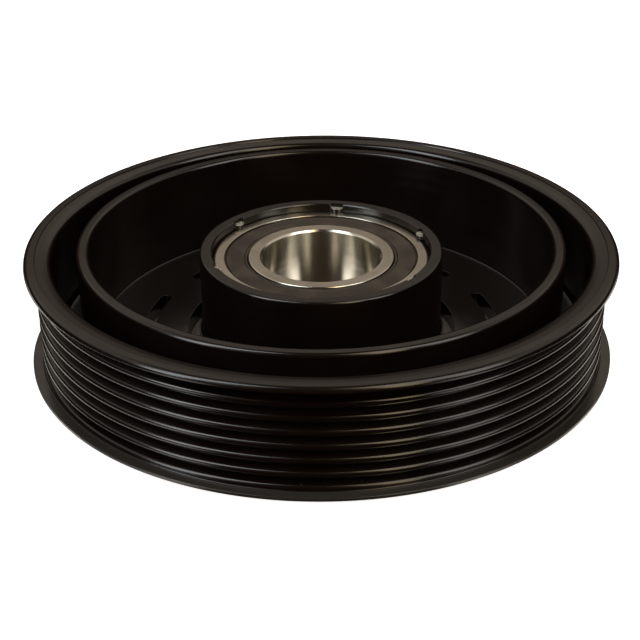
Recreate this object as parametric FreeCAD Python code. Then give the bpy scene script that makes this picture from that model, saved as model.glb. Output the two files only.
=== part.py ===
import FreeCAD, Part

# Rotor pulley of an electromagnetic clutch with its sealed double-row ball bearing.
# Frame: origin on the spin axis in the plane of the friction face, +Z towards the
# coil side, so the part stands on its friction face. Everything is in millimetres.
# Rear is the coil side (+Z) and front is the friction side (-Z).

import math
import os

from FreeCAD import Vector

# Belt rim: a grooved ring with two flanges and a front web. The rear end face is a land,
# slightly dished towards its inner edge, with a low round-edged band around the outside.
RIM_RADIUS = 74.0
RIM_BOTTOM = 0.4
RIM_WALL_RADIUS = 67.3
RIM_WEB_TOP = 5.3
RIM_FOOT_ROUNDING = 1.5
RIM_EDGE_CHAMFER = 0.4
RIM_EDGE_ROUNDING = 1.2
FLANGE_TIP_THICKNESS = 0.8
FLANGE_TIP_ROUNDING = 0.12
FLANGE_FACE_RISE = 0.1
FLANGE_SHOULDER_ROUNDING = 0.9
FLANGE_FILLET = 0.2
REAR_FLANGE_UNDERSIDE = 27.05
REAR_FLANGE_TIP = 27.4
LAND_INNER_TOP = 28.1
LAND_MIDDLE_RADIUS = 69.4
LAND_MIDDLE_TOP = 28.4
LAND_MIDDLE_ROUNDING = 12.0
LAND_OUTER_TOP = 28.5
BAND_FOOT_RADIUS = 71.2
BAND_INNER_RADIUS = 71.3
BAND_TOP = 28.75
BAND_EDGE_ROUNDING = 1.1

# Poly-V belt profile, PK section
BELT_MIDDLE = 14.25
GROOVE_COUNT = 7
GROOVE_PITCH = 3.56
GROOVE_DEPTH = 2.4
GROOVE_FLANK_ANGLE = math.radians(20.0)
GROOVE_FLOOR_HALF_WIDTH = 0.35
GROOVE_FLOOR_ROUNDING = 0.4
RIDGE_TIP_RADIUS = 71.4
RIDGE_TIP_ROUNDING = 0.7

# Rotor: friction plate with an inner pole (the hub) and an outer pole wall
POLE_OUTER_RADIUS = 61.0
POLE_INNER_RADIUS_TOP = 57.9
POLE_INNER_RADIUS_FLOOR = 57.1
POLE_TOP = 29.6
POLE_EDGE_ROUNDING = 0.9
PLATE_TOP = 4.7
PLATE_EDGE_CHAMFER = 0.4
CAVITY_FOOT_ROUNDING = 0.6
HUB_RADIUS = 30.7
HUB_TOP = 26.4
HUB_EDGE_ROUNDING = 0.6
HUB_INNER_CHAMFER = 0.3
SHOULDER_RADIUS = 25.5
SHOULDER_CHAMFER = 0.3

# Flux slots through the friction plate: two rings of arc slots with round ends
SLOTS_PER_RING = 6
SLOT_HALF_SPAN = 22.0
INNER_SLOT_RADIUS = 33.0
INNER_SLOT_WIDTH = 2.9
OUTER_SLOT_RADIUS = 44.4
OUTER_SLOT_WIDTH = 2.8

# Stakes that hold the bearing: metal of the hub punched in over the outer race
STAKE_COUNT = 6
STAKE_FIRST_ANGLE = 21.0
STAKE_PUNCH_RADIUS = 1.7
STAKE_PUNCH_CENTRE = 28.15
STAKE_NOTCH_RADIUS = 28.3
STAKE_HEIGHT = 1.0

# Bearing, 30 x 55 x 23 mm
BEARING_BORE_RADIUS = 15.0
BEARING_OUTER_RADIUS = 27.5
BEARING_WIDTH = 23.0
BEARING_BOTTOM = 1.4
BEARING_TOP = BEARING_BOTTOM + BEARING_WIDTH
BEARING_MIDDLE = BEARING_BOTTOM + BEARING_WIDTH / 2
BORE_CHAMFER = 0.5
OUTER_RACE_ROUNDING = 0.9
OUTER_RACE_MOUTH_RADIUS = 24.4
OUTER_RACE_LAND_RADIUS = 23.75
INNER_RACE_SEAL_RADIUS = 18.5
INNER_RACE_LAND_RADIUS = 19.2
INNER_RACE_EDGE_CHAMFER = 0.3
INNER_RACE_STEP_START = 2.6
INNER_RACE_STEP_END = 2.9

# Balls and cages
BALL_RADIUS = 3.572
BALLS_PER_ROW = 14
BALL_PITCH_RADIUS = 21.43
BALL_ROW_OFFSET = 4.75
BALL_CLEARANCE = 0.05
RACEWAY_RADIUS = 3.72
CAGE_INNER_RADIUS = 20.3
CAGE_OUTER_RADIUS = 22.6
CAGE_START = 2.4
CAGE_END = 8.6
CAGE_POCKET_CLEARANCE = 0.15
CAGE_EDGE_CHAMFER = 0.3

# Seals: depths are measured from the bearing's face, inwards
SEAL_LIP_RADIUS = 18.7
SEAL_LIP_OUTER_RADIUS = 19.25
SEAL_FACE_INNER_RADIUS = 19.45
SEAL_FACE_OUTER_RADIUS = 23.9
SEAL_BEAD_RADIUS = 24.9
SEAL_FACE_DEPTH = 0.3
SEAL_GROOVE_DEPTH = 0.7
SEAL_BEAD_TOP = 0.85
SEAL_BEAD_BOTTOM = 1.9
SEAL_LIP_BOTTOM = 2.2
SEAL_LIP_SLOPE = 0.15
SEAL_GROOVE_DRAFT = 0.05
CORE_INNER_RADIUS = 20.0
CORE_OUTER_RADIUS = 23.7
CORE_DEPTH = 1.0
CORE_THICKNESS = 0.5

ORIGIN = Vector(0, 0, 0)
AXIS = Vector(0, 0, 1)
MIDDLE_PLANE = Vector(0, 0, BEARING_MIDDLE)
CUT_MARGIN = 1.0


def corner_arc(before, corner, after, rounding):
    """The first, middle and last point of the arc that rounds one corner."""
    towards_before = (before - corner).normalize()
    towards_after = (after - corner).normalize()
    half_angle = towards_before.getAngle(towards_after) / 2
    reach = rounding / math.tan(half_angle)
    bisector = (towards_before + towards_after).normalize()
    centre_distance = rounding / math.sin(half_angle)
    middle = corner + bisector * (centre_distance - rounding)
    return corner + towards_before * reach, middle, corner + towards_after * reach


def corner_points(points, index):
    """A sharp corner gives its own point three times, a rounded one its arc."""
    radius, height, rounding = points[index]
    corner = Vector(radius, 0, height)
    if rounding == 0:
        return corner, corner, corner
    before = Vector(points[index - 1][0], 0, points[index - 1][1])
    following = points[(index + 1) % len(points)]
    after = Vector(following[0], 0, following[1])
    return corner_arc(before, corner, after, rounding)


def ring(points):
    """Solid of revolution from (radius, height, rounding) corners, in order."""
    corners = [corner_points(points, index) for index in range(len(points))]
    edges = []
    for index, (first, middle, last) in enumerate(corners):
        if first != last:
            edges.append(Part.Arc(first, middle, last).toShape())
        next_first = corners[(index + 1) % len(corners)][0]
        edges.append(Part.makeLine(last, next_first))
    face = Part.Face(Part.Wire(edges))
    return face.revolve(ORIGIN, AXIS, 360)


def annulus(inner_radius, outer_radius, bottom, top):
    """Plain ring of rectangular section."""
    outer = Part.makeCylinder(outer_radius, top - bottom, Vector(0, 0, bottom))
    inner = Part.makeCylinder(inner_radius, top - bottom, Vector(0, 0, bottom))
    return outer.cut(inner)


def turned(shape, angle):
    """Copy of a shape, turned about the spin axis by an angle in degrees."""
    copy = shape.copy()
    copy.rotate(ORIGIN, AXIS, angle)
    return copy


def turned_copies(shape, count, first_angle=0.0):
    """Evenly spaced copies of a shape around the spin axis."""
    return [turned(shape, first_angle + 360.0 * index / count) for index in range(count)]


def mirrored_to_front(shape):
    """Mirror image of a rear bearing piece, for the front side of the bearing."""
    return shape.mirror(MIDDLE_PLANE, AXIS)


def groove_points(centre_height):
    """Corners of one belt groove, from its lower flank to its upper flank."""
    floor_radius = RIDGE_TIP_RADIUS - GROOVE_DEPTH
    mouth_half_width = GROOVE_FLOOR_HALF_WIDTH + GROOVE_DEPTH * math.tan(GROOVE_FLANK_ANGLE)
    return [
        (RIDGE_TIP_RADIUS, centre_height - mouth_half_width, RIDGE_TIP_ROUNDING),
        (floor_radius, centre_height - GROOVE_FLOOR_HALF_WIDTH, GROOVE_FLOOR_ROUNDING),
        (floor_radius, centre_height + GROOVE_FLOOR_HALF_WIDTH, GROOVE_FLOOR_ROUNDING),
        (RIDGE_TIP_RADIUS, centre_height + mouth_half_width, RIDGE_TIP_ROUNDING),
    ]


def belt_profile():
    """Corners of all belt grooves, with a rounder shoulder beside each flange."""
    points = []
    for index in range(GROOVE_COUNT):
        steps_from_middle = index - (GROOVE_COUNT - 1) / 2
        points += groove_points(BELT_MIDDLE + steps_from_middle * GROOVE_PITCH)
    points[0] = (RIDGE_TIP_RADIUS, points[0][1], FLANGE_SHOULDER_ROUNDING)
    points[-1] = (RIDGE_TIP_RADIUS, points[-1][1], FLANGE_SHOULDER_ROUNDING)
    return points


def make_pulley_rim():
    """Grooved ring whose front web joins it to the rotor's outer pole."""
    front_flange_top = RIM_BOTTOM + FLANGE_TIP_THICKNESS
    bottom = [
        (POLE_OUTER_RADIUS + RIM_EDGE_CHAMFER, RIM_BOTTOM, 0),
        (RIM_RADIUS, RIM_BOTTOM, FLANGE_TIP_ROUNDING),
        (RIM_RADIUS, front_flange_top, FLANGE_TIP_ROUNDING),
        (RIDGE_TIP_RADIUS, front_flange_top + FLANGE_FACE_RISE, FLANGE_FILLET),
    ]
    top = [
        (RIDGE_TIP_RADIUS, REAR_FLANGE_UNDERSIDE, FLANGE_FILLET),
        (RIM_RADIUS, REAR_FLANGE_TIP, FLANGE_TIP_ROUNDING),
        (RIM_RADIUS, BAND_TOP, BAND_EDGE_ROUNDING),
        (BAND_INNER_RADIUS, BAND_TOP, 0),
        (BAND_FOOT_RADIUS, LAND_OUTER_TOP, 0),
        (LAND_MIDDLE_RADIUS, LAND_MIDDLE_TOP, LAND_MIDDLE_ROUNDING),
        (RIM_WALL_RADIUS, LAND_INNER_TOP, RIM_EDGE_ROUNDING),
        (RIM_WALL_RADIUS, RIM_WEB_TOP, RIM_FOOT_ROUNDING),
        (POLE_OUTER_RADIUS, RIM_WEB_TOP, 0),
        (POLE_OUTER_RADIUS, RIM_BOTTOM + RIM_EDGE_CHAMFER, 0),
    ]
    return ring(bottom + belt_profile() + top)


def slot_cutter(slot_radius, width):
    """Arc-shaped slot with round ends, centred on +X, through the friction plate."""
    end_angle = SLOT_HALF_SPAN - math.degrees(width / 2 / slot_radius)
    bottom = -CUT_MARGIN
    height = PLATE_TOP + 2 * CUT_MARGIN
    band = annulus(slot_radius - width / 2, slot_radius + width / 2, bottom, bottom + height)
    sector = Part.makeCylinder(RIM_RADIUS, height, Vector(0, 0, bottom), AXIS, 2 * end_angle)
    middle = band.common(turned(sector, -end_angle))
    end = Part.makeCylinder(width / 2, height, Vector(slot_radius, 0, bottom))
    return middle.fuse([turned(end, -end_angle), turned(end, end_angle)]).removeSplitter()


def stake_punch(bottom, top):
    """Round punch on +X, over the edge of the bearing seat."""
    return Part.makeCylinder(STAKE_PUNCH_RADIUS, top - bottom, Vector(STAKE_PUNCH_CENTRE, 0, bottom))


def stake_notch():
    """Half-moon that the punch leaves in the hub's end face, on +X."""
    ledge = BEARING_TOP + STAKE_HEIGHT
    top = HUB_TOP + CUT_MARGIN
    reach = annulus(SHOULDER_RADIUS, STAKE_NOTCH_RADIUS, ledge, top)
    return stake_punch(ledge, top).common(reach)


def stake_lug():
    """Half-moon of metal over the outer race, on +X."""
    ledge = BEARING_TOP + STAKE_HEIGHT
    inside_wall = BEARING_OUTER_RADIUS + HUB_INNER_CHAMFER
    reach = annulus(SHOULDER_RADIUS, inside_wall, BEARING_TOP, ledge)
    return stake_punch(BEARING_TOP, ledge).common(reach)


def make_rotor():
    """Friction plate, hub and outer pole in one piece, with slots and stakes."""
    body = ring([
        (SHOULDER_RADIUS + SHOULDER_CHAMFER, 0, 0),
        (POLE_OUTER_RADIUS - PLATE_EDGE_CHAMFER, 0, 0),
        (POLE_OUTER_RADIUS, PLATE_EDGE_CHAMFER, 0),
        (POLE_OUTER_RADIUS, POLE_TOP, POLE_EDGE_ROUNDING),
        (POLE_INNER_RADIUS_TOP, POLE_TOP, POLE_EDGE_ROUNDING),
        (POLE_INNER_RADIUS_FLOOR, PLATE_TOP, CAVITY_FOOT_ROUNDING),
        (HUB_RADIUS, PLATE_TOP, CAVITY_FOOT_ROUNDING),
        (HUB_RADIUS, HUB_TOP, HUB_EDGE_ROUNDING),
        (BEARING_OUTER_RADIUS + HUB_INNER_CHAMFER, HUB_TOP, 0),
        (BEARING_OUTER_RADIUS, HUB_TOP - HUB_INNER_CHAMFER, 0),
        (BEARING_OUTER_RADIUS, BEARING_BOTTOM, 0),
        (SHOULDER_RADIUS, BEARING_BOTTOM, 0),
        (SHOULDER_RADIUS, SHOULDER_CHAMFER, 0),
    ])
    slots = turned_copies(slot_cutter(INNER_SLOT_RADIUS, INNER_SLOT_WIDTH), SLOTS_PER_RING)
    slots += turned_copies(slot_cutter(OUTER_SLOT_RADIUS, OUTER_SLOT_WIDTH), SLOTS_PER_RING)
    notches = turned_copies(stake_notch(), STAKE_COUNT, STAKE_FIRST_ANGLE)
    lugs = turned_copies(stake_lug(), STAKE_COUNT, STAKE_FIRST_ANGLE)
    return body.cut(slots + notches).fuse(lugs).removeSplitter()


def raceway_cutter(groove_centre_radius, row_height):
    """Ring of round section that cuts one ball raceway."""
    return Part.makeTorus(groove_centre_radius, RACEWAY_RADIUS, Vector(0, 0, row_height))


def cut_raceways(race, groove_centre_radius):
    """A race with its two ball raceways."""
    rear = raceway_cutter(groove_centre_radius, BEARING_MIDDLE + BALL_ROW_OFFSET)
    front = raceway_cutter(groove_centre_radius, BEARING_MIDDLE - BALL_ROW_OFFSET)
    return race.cut([rear, front])


def make_outer_race():
    """Outer race: seal seats at both ends and two raceways in its bore."""
    seat_top = BEARING_TOP - SEAL_BEAD_TOP
    seat_bottom = BEARING_TOP - SEAL_BEAD_BOTTOM
    front_seat_bottom = BEARING_BOTTOM + SEAL_BEAD_TOP
    front_seat_top = BEARING_BOTTOM + SEAL_BEAD_BOTTOM
    body = ring([
        (BEARING_OUTER_RADIUS, BEARING_BOTTOM, OUTER_RACE_ROUNDING),
        (BEARING_OUTER_RADIUS, BEARING_TOP, OUTER_RACE_ROUNDING),
        (OUTER_RACE_MOUTH_RADIUS, BEARING_TOP, 0),
        (OUTER_RACE_MOUTH_RADIUS, seat_top, 0),
        (SEAL_BEAD_RADIUS, seat_top, 0),
        (SEAL_BEAD_RADIUS, seat_bottom, 0),
        (OUTER_RACE_LAND_RADIUS, seat_bottom, 0),
        (OUTER_RACE_LAND_RADIUS, front_seat_top, 0),
        (SEAL_BEAD_RADIUS, front_seat_top, 0),
        (SEAL_BEAD_RADIUS, front_seat_bottom, 0),
        (OUTER_RACE_MOUTH_RADIUS, front_seat_bottom, 0),
        (OUTER_RACE_MOUTH_RADIUS, BEARING_BOTTOM, 0),
    ])
    raceway_floor = BALL_PITCH_RADIUS + BALL_RADIUS + BALL_CLEARANCE
    return cut_raceways(body, raceway_floor - RACEWAY_RADIUS)


def make_inner_race():
    """Inner race: chamfered bore, seal lands at both ends and two raceways."""
    body = ring([
        (BEARING_BORE_RADIUS + BORE_CHAMFER, BEARING_BOTTOM, 0),
        (INNER_RACE_SEAL_RADIUS - INNER_RACE_EDGE_CHAMFER, BEARING_BOTTOM, 0),
        (INNER_RACE_SEAL_RADIUS, BEARING_BOTTOM + INNER_RACE_EDGE_CHAMFER, 0),
        (INNER_RACE_SEAL_RADIUS, BEARING_BOTTOM + INNER_RACE_STEP_START, 0),
        (INNER_RACE_LAND_RADIUS, BEARING_BOTTOM + INNER_RACE_STEP_END, 0),
        (INNER_RACE_LAND_RADIUS, BEARING_TOP - INNER_RACE_STEP_END, 0),
        (INNER_RACE_SEAL_RADIUS, BEARING_TOP - INNER_RACE_STEP_START, 0),
        (INNER_RACE_SEAL_RADIUS, BEARING_TOP - INNER_RACE_EDGE_CHAMFER, 0),
        (INNER_RACE_SEAL_RADIUS - INNER_RACE_EDGE_CHAMFER, BEARING_TOP, 0),
        (BEARING_BORE_RADIUS + BORE_CHAMFER, BEARING_TOP, 0),
        (BEARING_BORE_RADIUS, BEARING_TOP - BORE_CHAMFER, 0),
        (BEARING_BORE_RADIUS, BEARING_BOTTOM + BORE_CHAMFER, 0),
    ])
    raceway_floor = BALL_PITCH_RADIUS - BALL_RADIUS - BALL_CLEARANCE
    return cut_raceways(body, raceway_floor + RACEWAY_RADIUS)


def at_depth(points):
    """Turn (radius, depth below the bearing's rear face) into ring corners."""
    return [(radius, BEARING_TOP - depth, 0) for radius, depth in points]


def make_rear_seal():
    """Moulded rubber seal: bead in the outer race, lip beside the inner race."""
    return ring(at_depth([
        (SEAL_LIP_RADIUS, SEAL_FACE_DEPTH + SEAL_LIP_SLOPE),
        (SEAL_LIP_OUTER_RADIUS, SEAL_FACE_DEPTH),
        (SEAL_LIP_OUTER_RADIUS + SEAL_GROOVE_DRAFT, SEAL_GROOVE_DEPTH),
        (SEAL_FACE_INNER_RADIUS - SEAL_GROOVE_DRAFT, SEAL_GROOVE_DEPTH),
        (SEAL_FACE_INNER_RADIUS, SEAL_FACE_DEPTH),
        (SEAL_FACE_OUTER_RADIUS, SEAL_FACE_DEPTH),
        (SEAL_FACE_OUTER_RADIUS + SEAL_GROOVE_DRAFT, SEAL_BEAD_TOP),
        (SEAL_BEAD_RADIUS, SEAL_BEAD_TOP),
        (SEAL_BEAD_RADIUS, SEAL_BEAD_BOTTOM),
        (CORE_OUTER_RADIUS, SEAL_BEAD_BOTTOM),
        (CORE_OUTER_RADIUS, CORE_DEPTH),
        (CORE_INNER_RADIUS, CORE_DEPTH),
        (CORE_INNER_RADIUS, SEAL_BEAD_BOTTOM),
        (SEAL_FACE_INNER_RADIUS, SEAL_BEAD_BOTTOM),
        (SEAL_LIP_RADIUS, SEAL_LIP_BOTTOM),
    ]))


def make_rear_seal_core():
    """Pressed steel washer with a turned-in rim, bonded to the seal's inner side."""
    return ring(at_depth([
        (CORE_INNER_RADIUS, CORE_DEPTH),
        (CORE_OUTER_RADIUS, CORE_DEPTH),
        (CORE_OUTER_RADIUS, SEAL_BEAD_BOTTOM),
        (CORE_OUTER_RADIUS - CORE_THICKNESS, SEAL_BEAD_BOTTOM),
        (CORE_OUTER_RADIUS - CORE_THICKNESS, CORE_DEPTH + CORE_THICKNESS),
        (CORE_INNER_RADIUS, CORE_DEPTH + CORE_THICKNESS),
    ]))


def make_rear_cage():
    """Crown cage: a ring with one round pocket for each ball of the rear row."""
    body = ring(at_depth([
        (CAGE_INNER_RADIUS, CAGE_START + CAGE_EDGE_CHAMFER),
        (CAGE_INNER_RADIUS + CAGE_EDGE_CHAMFER, CAGE_START),
        (CAGE_OUTER_RADIUS - CAGE_EDGE_CHAMFER, CAGE_START),
        (CAGE_OUTER_RADIUS, CAGE_START + CAGE_EDGE_CHAMFER),
        (CAGE_OUTER_RADIUS, CAGE_END),
        (CAGE_INNER_RADIUS, CAGE_END),
    ]))
    centre = Vector(BALL_PITCH_RADIUS, 0, BEARING_MIDDLE + BALL_ROW_OFFSET)
    pocket = Part.makeSphere(BALL_RADIUS + CAGE_POCKET_CLEARANCE, centre)
    return body.cut(turned_copies(pocket, BALLS_PER_ROW))


def make_balls(row_height, first_angle):
    """One row of bearing balls."""
    ball = Part.makeSphere(BALL_RADIUS, Vector(BALL_PITCH_RADIUS, 0, row_height))
    return turned_copies(ball, BALLS_PER_ROW, first_angle)


def save(name, shape):
    """Write one node and report its volume."""
    shape.exportStep(os.path.join("parts", name + ".step"))
    print(name, "valid" if shape.isValid() else "NOT VALID", len(shape.Solids), round(shape.Volume, 1))


def save_row(side, balls):
    """Write each ball of one row as a node of its own."""
    for number, ball in enumerate(balls, start=1):
        save(f"{side}_ball_{number:02d}", ball)


def main():
    os.makedirs("parts", exist_ok=True)
    rear_seal = make_rear_seal()
    rear_seal_core = make_rear_seal_core()
    rear_cage = make_rear_cage()
    half_ball_pitch = 180.0 / BALLS_PER_ROW
    save("rotor", make_rotor())
    save("pulley_rim", make_pulley_rim())
    save("bearing_outer_race", make_outer_race())
    save("bearing_inner_race", make_inner_race())
    save("rear_seal", rear_seal)
    save("front_seal", mirrored_to_front(rear_seal))
    save("rear_seal_core", rear_seal_core)
    save("front_seal_core", mirrored_to_front(rear_seal_core))
    save("rear_cage", rear_cage)
    save("front_cage", turned(mirrored_to_front(rear_cage), half_ball_pitch))
    save_row("rear", make_balls(BEARING_MIDDLE + BALL_ROW_OFFSET, 0.0))
    save_row("front", make_balls(BEARING_MIDDLE - BALL_ROW_OFFSET, half_ball_pitch))


main()
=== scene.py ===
import math

import bmesh
import bpy
from mathutils import Euler, Matrix, Vector
from mathutils.geometry import delaunay_2d_cdt


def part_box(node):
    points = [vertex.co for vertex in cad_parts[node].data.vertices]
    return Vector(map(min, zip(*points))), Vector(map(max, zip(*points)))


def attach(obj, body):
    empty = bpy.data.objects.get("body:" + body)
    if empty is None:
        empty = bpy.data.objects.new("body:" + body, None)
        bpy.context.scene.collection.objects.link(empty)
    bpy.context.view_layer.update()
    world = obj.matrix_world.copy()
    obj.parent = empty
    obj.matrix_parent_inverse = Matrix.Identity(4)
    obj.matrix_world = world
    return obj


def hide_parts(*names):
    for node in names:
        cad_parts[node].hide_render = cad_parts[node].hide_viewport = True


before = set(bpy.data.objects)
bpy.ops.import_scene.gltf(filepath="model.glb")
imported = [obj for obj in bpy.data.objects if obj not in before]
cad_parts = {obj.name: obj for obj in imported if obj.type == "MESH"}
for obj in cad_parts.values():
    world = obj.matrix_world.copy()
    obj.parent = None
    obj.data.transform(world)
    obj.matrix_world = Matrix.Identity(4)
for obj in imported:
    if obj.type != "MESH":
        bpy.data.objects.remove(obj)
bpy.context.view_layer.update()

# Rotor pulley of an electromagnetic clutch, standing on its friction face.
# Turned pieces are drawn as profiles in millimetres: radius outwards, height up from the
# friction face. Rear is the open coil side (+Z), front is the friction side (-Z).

MM = 0.001


def low_mm(node):
    """Lowest height of a CAD node."""
    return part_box(node)[0][2] / MM


def high_mm(node):
    """Highest height of a CAD node."""
    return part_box(node)[1][2] / MM


# Heights from the frame
RIM_BOTTOM = low_mm("pulley_rim")
BAND_TOP = high_mm("pulley_rim")
POLE_TOP = high_mm("rotor")
BEARING_BOTTOM = low_mm("bearing_outer_race")
BEARING_TOP = high_mm("bearing_outer_race")
BEARING_MIDDLE = (BEARING_BOTTOM + BEARING_TOP) / 2

# Belt rim
RIM_RADIUS = 74.0
RIM_WALL_RADIUS = 67.3
RIM_WEB_TOP = 5.3
RIM_FOOT_ROUNDING = 1.5
RIM_EDGE_ROUNDING = 1.2
FLANGE_TIP_THICKNESS = 0.8
FLANGE_TIP_ROUNDING = 0.12
FLANGE_FACE_RISE = 0.1
FLANGE_SHOULDER_ROUNDING = 0.9
FLANGE_FILLET = 0.2
REAR_FLANGE_UNDERSIDE = 27.05
REAR_FLANGE_TIP = 27.4
LAND_INNER_TOP = 28.1
LAND_MIDDLE_RADIUS = 69.4
LAND_MIDDLE_TOP = 28.4
LAND_MIDDLE_ROUNDING = 12.0
LAND_OUTER_TOP = 28.5
BAND_FOOT_RADIUS = 71.2
BAND_INNER_RADIUS = 71.3
BAND_STEP_ROUNDING = 0.04
BAND_EDGE_ROUNDING = 1.1
BELT_MIDDLE = 14.25
GROOVE_COUNT = 7
GROOVE_PITCH = 3.56
GROOVE_DEPTH = 2.4
GROOVE_FLANK_ANGLE = math.radians(20.0)
GROOVE_FLOOR_HALF_WIDTH = 0.35
GROOVE_FLOOR_ROUNDING = 0.4
RIDGE_TIP_RADIUS = 71.4
RIDGE_TIP_ROUNDING = 0.7

# Rotor
POLE_OUTER_RADIUS = 61.0
POLE_INNER_RADIUS_TOP = 57.9
POLE_INNER_RADIUS_FLOOR = 57.1
POLE_EDGE_ROUNDING = 0.9
PLATE_TOP = 4.7
PLATE_EDGE_ROUNDING = 0.35
CAVITY_FOOT_ROUNDING = 0.6
HUB_RADIUS = 30.7
HUB_TOP = 26.4
HUB_EDGE_ROUNDING = 0.6
SHOULDER_RADIUS = 25.5
SHOULDER_ROUNDING = 0.3
HUB_INNER_CHAMFER = 0.3
HUB_INNER_ROUNDING = 0.1
SEAT_ROUNDING = 0.1
SEAT_DROP = 0.05
SEAT_START = BEARING_TOP - SEAT_DROP
PLATE_INNER_MARGIN = 0.03
PLATE_OUTER_MARGIN = 0.2
PLATE_FLAT_INNER = HUB_RADIUS + CAVITY_FOOT_ROUNDING + PLATE_INNER_MARGIN
PLATE_FLAT_OUTER = POLE_INNER_RADIUS_FLOOR - CAVITY_FOOT_ROUNDING - PLATE_OUTER_MARGIN

# Flux slots
SLOTS_PER_RING = 6
SLOT_HALF_SPAN = 22.0
INNER_SLOT = (33.0, 2.9)
OUTER_SLOT = (44.4, 2.8)
SLOT_EDGE_ROUNDING = 0.12
SLOT_ARC_STEPS = 40
SLOT_END_STEPS = 12

# Stakes over the bearing's outer race
STAKE_COUNT = 6
STAKE_FIRST_ANGLE = 21.0
STAKE_PUNCH_RADIUS = 1.7
STAKE_PUNCH_CENTRE = 28.15
STAKE_NOTCH_RADIUS = 28.3
STAKE_LEDGE_RISE = 1.0
STAKE_LEDGE = BEARING_TOP + STAKE_LEDGE_RISE
STAKE_SIDE_WIDTH = 0.12
STAKE_SIDE_STEPS = 4
STAKE_HALF_WIDTH = 1.58
STAKE_PATH_POINTS = 60
STAKE_CLEAR = 0.15
STAKE_FOOT_RISE = 0.02
STAKE_FOOT = BEARING_TOP + STAKE_FOOT_RISE
STAKE_FOOT_ROUNDING = 0.02
STAKE_UNDERSIDE_ROUNDING = 0.06
STAKE_TIP_ROUNDING = 0.12
STAKE_LEDGE_FALL = 0.1
STAKE_NOTCH_FOOT_ROUNDING = 0.1
STAKE_NOTCH_ROUNDING = 0.08

# Bearing
BORE_RADIUS = 15.0
BEARING_RADIUS = 27.5
OUTER_RACE_ROUNDING = 0.9
OUTER_RACE_MOUTH_RADIUS = 24.4
OUTER_RACE_LAND_RADIUS = 23.75
INNER_RACE_SEAL_RADIUS = 18.5
INNER_RACE_LAND_RADIUS = 19.2
BALL_RADIUS = 3.572
BALL_PITCH_RADIUS = 21.43
BALL_ROW_OFFSET = 4.75
RACEWAY_RADIUS = 3.72
RACEWAY_CLEARANCE = 0.05
BORE_CHAMFER = 0.5
BORE_EDGE_ROUNDING = 0.15
RACE_EDGE_ROUNDING = 0.3
RACE_MOUTH_ROUNDING = 0.15
RACE_LAND_ROUNDING = 0.1
SEAL_SEAT_ROUNDING = 0.05
RACE_STEP_START = 2.6
RACE_STEP_END = 2.9

# Seals: depths are measured from the bearing's face, inwards
SEAL_BEAD_RADIUS = 24.9
SEAL_BEAD_TOP = 0.85
SEAL_BEAD_BOTTOM = 1.9
SEAL_LIP_RADIUS = 18.7
SEAL_LIP_OUTER_RADIUS = 19.25
SEAL_FACE_INNER_RADIUS = 19.45
SEAL_FACE_OUTER_RADIUS = 23.9
SEAL_FACE_DEPTH = 0.3
SEAL_GROOVE_DEPTH = 0.7
CORE_INNER_RADIUS = 20.0
CORE_OUTER_RADIUS = 23.7
CORE_DEPTH = 1.0
SEAL_LIP_DEPTH = 0.45
SEAL_LIP_LENGTH = 0.3
SEAL_LIP_ROUNDING = 0.1
SEAL_LIP_END_ROUNDING = 0.15
SEAL_FACE_ROUNDING = 0.12
SEAL_OUTER_ROUNDING = 0.2
SEAL_GROOVE_DRAFT = 0.05
SEAL_GROOVE_ROUNDING = 0.04
SEAL_BEAD_FOOT_ROUNDING = 0.1
SEAL_BEAD_ROUNDING = 0.2
SEAL_INNER_ROUNDING = 0.1
CORE_SEAT_ROUNDING = 0.05

# Colours, as linear light
BLACK_DEEP = (0.0036, 0.0018, 0.0012, 1.0)
BLACK_FADED = (0.0060, 0.0034, 0.0023, 1.0)
# Lighter coat on sharp edges: partly wear, partly a painted edge highlight
BLACK_WEAR_AND_SHEEN = (0.012, 0.0105, 0.009, 1.0)
DUST = (0.05, 0.045, 0.04, 1.0)
# Painted sheen: lighter grey painted on the front flange face
PAINTED_FLANGE_SHEEN = (0.025, 0.022, 0.020, 1.0)
SCRAPED = (0.36, 0.34, 0.30, 1.0)
STEEL_BRIGHT = (0.72, 0.70, 0.67, 1.0)
STEEL_PALE = (0.56, 0.53, 0.48, 1.0)
STEEL_DARK = (0.40, 0.37, 0.33, 1.0)
RACE_PALE = (0.66, 0.635, 0.55, 1.0)
RACE_DARK = (0.52, 0.495, 0.42, 1.0)
RUBBER_DARK = (0.024, 0.018, 0.012, 1.0)
RUBBER_BLOOM = (0.048, 0.037, 0.026, 1.0)
NYLON_PALE = (0.72, 0.67, 0.54, 1.0)
NYLON_DARK = (0.60, 0.54, 0.41, 1.0)

# Gloss and wear
COAT_SMOOTHEST = 0.13
COAT_ROUGHEST = 0.21
COAT_STREAK = 0.55
QUARTER_TURN = 0.25
RACE_ROUGHNESS = 0.19
RACE_STREAK = 0.80
RING_ROUGHNESS = 0.06
# Strength of the edge wear and painted edge highlight
EDGE_WEAR_AND_SHEEN_STRENGTH = 0.6
# Bounds of the painted sheen on the front flange
PAINTED_SHEEN_TOP = 1.5
PAINTED_SHEEN_TOP_FADE = 0.2
PAINTED_SHEEN_START = 71.4
PAINTED_SHEEN_START_FADE = 0.4
BARE_FACE_TOP = 0.06
BARE_FACE_BOTTOM = 0.02
SCRAPED_BELOW_LEDGE = (0.3, 0.1)
SCRAPED_ABOVE_LEDGE = (0.2, 0.1)
NYLON_GLOW_THROUGH = 0.15
NYLON_GLOW_DEPTH = 1.0
DUST_SPACING = 2.6
DUST_COVER = 0.55
DUST_ROUGHNESS = 0.8

# Mesh density
TURN_STEPS = 360
CORNER_STEPS = 5
EDGE_SUPPORT = 0.05
RACEWAY_POINTS = 16
STAKE_STEP = 0.1
WELD_DISTANCE = 1e-7
SLOT_MARGIN = SLOT_EDGE_ROUNDING + EDGE_SUPPORT

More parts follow.
